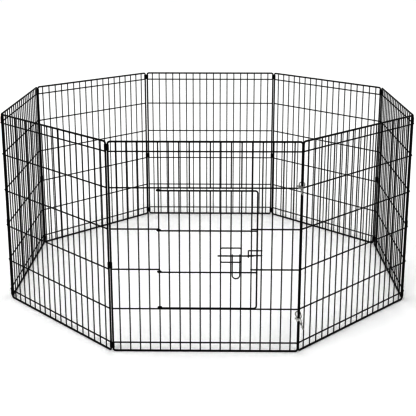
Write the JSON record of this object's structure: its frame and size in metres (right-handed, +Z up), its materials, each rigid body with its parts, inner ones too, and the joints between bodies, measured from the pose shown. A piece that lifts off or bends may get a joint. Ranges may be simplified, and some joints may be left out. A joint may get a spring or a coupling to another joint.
{
  "type": "pet playpen",
  "caption": "Folding wire pet playpen: a ring of hinged wire panels with sleeve hinges, a side-swung wire door with a slide bolt, and spring snap hooks that close the ring.",
  "frame": {"origin": "on the floor, under the centre of the pen's outline", "axes": "+X to the right for someone outside who faces the door, +Y from the door to the back of the pen, +Z up"},
  "size_m": [1.4948, 1.5365, 0.71],
  "materials": {
    "frame_wire": "black satin coat over round steel wire",
    "grille_wire": "black satin coat over thin round steel wire",
    "sleeve_sheet": "black satin coat over rolled steel sheet",
    "latch_wire": "black satin coat, rubbed where the bolt slides",
    "snap_metal": "nickel plate over a zinc casting",
    "spring_steel": "bare spring wire"
  },
  "bodies": {
    "panel_1": {"panel_1_frame": "frame_wire", "panel_1_uprights": "grille_wire", "panel_1_rails": "grille_wire", "latch_keeper": "latch_wire"},
    "panel_2": {"panel_2_frame": "frame_wire", "panel_2_uprights": "grille_wire", "panel_2_rails": "grille_wire", "corner_1_sleeves": "sleeve_sheet"},
    "panel_3": {"panel_3_frame": "frame_wire", "panel_3_uprights": "grille_wire", "panel_3_rails": "grille_wire", "corner_2_sleeves": "sleeve_sheet"},
    "panel_4": {"panel_4_frame": "frame_wire", "panel_4_uprights": "grille_wire", "panel_4_rails": "grille_wire", "corner_3_sleeves": "sleeve_sheet"},
    "panel_5": {"panel_5_frame": "frame_wire", "panel_5_uprights": "grille_wire", "panel_5_rails": "grille_wire", "corner_4_sleeves": "sleeve_sheet"},
    "panel_6": {"panel_6_frame": "frame_wire", "panel_6_uprights": "grille_wire", "panel_6_rails": "grille_wire", "corner_5_sleeves": "sleeve_sheet"},
    "panel_7": {"panel_7_frame": "frame_wire", "panel_7_uprights": "grille_wire", "panel_7_rails": "grille_wire", "corner_6_sleeves": "sleeve_sheet"},
    "panel_8": {"panel_8_frame": "frame_wire", "panel_8_uprights": "grille_wire", "panel_8_rails": "grille_wire", "corner_7_sleeves": "sleeve_sheet"},
    "door": {"door_frame": "frame_wire", "door_rails": "grille_wire", "door_uprights": "grille_wire", "latch_bracket": "latch_wire"},
    "latch_bolt": {"latch_bolt": "latch_wire"},
    "latch_handle": {"latch_handle": "latch_wire"},
    "snap_1": {"snap_1_hook": "snap_metal", "snap_1_spring": "spring_steel"},
    "snap_1_trigger": {"snap_1_trigger": "snap_metal"},
    "snap_1_eye": {"snap_1_eye": "snap_metal"},
    "snap_2": {"snap_2_hook": "snap_metal", "snap_2_spring": "spring_steel"},
    "snap_2_trigger": {"snap_2_trigger": "snap_metal"},
    "snap_2_eye": {"snap_2_eye": "snap_metal"}
  },
  "joints": [
    {"name": "corner_1_swing", "type": "hinge", "parent": "panel_1", "child": "panel_2", "pos_m": [-0.3025, -0.72315, 0.355], "axis": [0, 0, 1], "range_deg": [0, 67.5]},
    {"name": "corner_2_swing", "type": "hinge", "parent": "panel_2", "child": "panel_3", "pos_m": [-0.73769, -0.29229, 0.355], "axis": [0, 0, 1], "range_deg": [0, 67.5]},
    {"name": "corner_3_swing", "type": "hinge", "parent": "panel_3", "child": "panel_4", "pos_m": [-0.74182, 0.32269, 0.355], "axis": [0, 0, 1], "range_deg": [0, 67.5]},
    {"name": "corner_4_swing", "type": "hinge", "parent": "panel_4", "child": "panel_5", "pos_m": [-0.31096, 0.75788, 0.355], "axis": [0, 0, 1], "range_deg": [0, 67.5]},
    {"name": "corner_5_swing", "type": "hinge", "parent": "panel_5", "child": "panel_6", "pos_m": [0.30402, 0.76101, 0.355], "axis": [0, 0, 1], "range_deg": [0, 67.5]},
    {"name": "corner_6_swing", "type": "hinge", "parent": "panel_6", "child": "panel_7", "pos_m": [0.7385, 0.32943, 0.355], "axis": [0, 0, 1], "range_deg": [0, 67.5]},
    {"name": "corner_7_swing", "type": "hinge", "parent": "panel_7", "child": "panel_8", "pos_m": [0.73898, -0.28555, 0.355], "axis": [0, 0, 1], "range_deg": [-90, 67.5]},
    {"name": "door_hinge", "type": "hinge", "parent": "panel_1", "child": "door", "pos_m": [-0.14715, -0.72395, 0.355], "axis": [0, 0, -1], "range_deg": [0, 150]},
    {"name": "bolt_slide", "type": "slide", "parent": "door", "child": "latch_bolt", "axis": [-1, 0, 0], "range_m": [0, 0.032]},
    {"name": "handle_swing", "type": "hinge", "parent": "latch_bolt", "child": "latch_handle", "pos_m": [0.0983, -0.7403, 0.34], "axis": [-1, 0, 0], "range_deg": [0, 150]},
    {"name": "snap_1_slide", "type": "slide", "parent": "panel_1", "child": "snap_1", "axis": [0, 0, 1], "range_m": [-0.078, 0.007]},
    {"name": "snap_1_trigger_slide", "type": "slide", "parent": "snap_1", "child": "snap_1_trigger", "axis": [0.2588, -0.683, -0.683], "range_m": [0, 0.0065], "stiffness_N_per_m": 250, "springref_m": -0.004, "deforming": ["snap_1_spring"]},
    {"name": "snap_1_eye_swivel", "type": "hinge", "parent": "snap_1", "child": "snap_1_eye", "pos_m": [0.303, -0.71915, 0.129], "axis": [-0.2588, 0.683, 0.683], "continuous": true},
    {"name": "snap_2_slide", "type": "slide", "parent": "panel_1", "child": "snap_2", "axis": [0, 0, 1], "range_m": [0, 0.085]},
    {"name": "snap_2_trigger_slide", "type": "slide", "parent": "snap_2", "child": "snap_2_trigger", "axis": [-0.0872, -0.9361, -0.3407], "range_m": [0, 0.0065], "stiffness_N_per_m": 250, "springref_m": -0.004, "deforming": ["snap_2_spring"]},
    {"name": "snap_2_eye_swivel", "type": "hinge", "parent": "snap_2", "child": "snap_2_eye", "pos_m": [0.303, -0.71915, 0.57], "axis": [0.0872, 0.9361, 0.3407], "continuous": true}
  ]
}
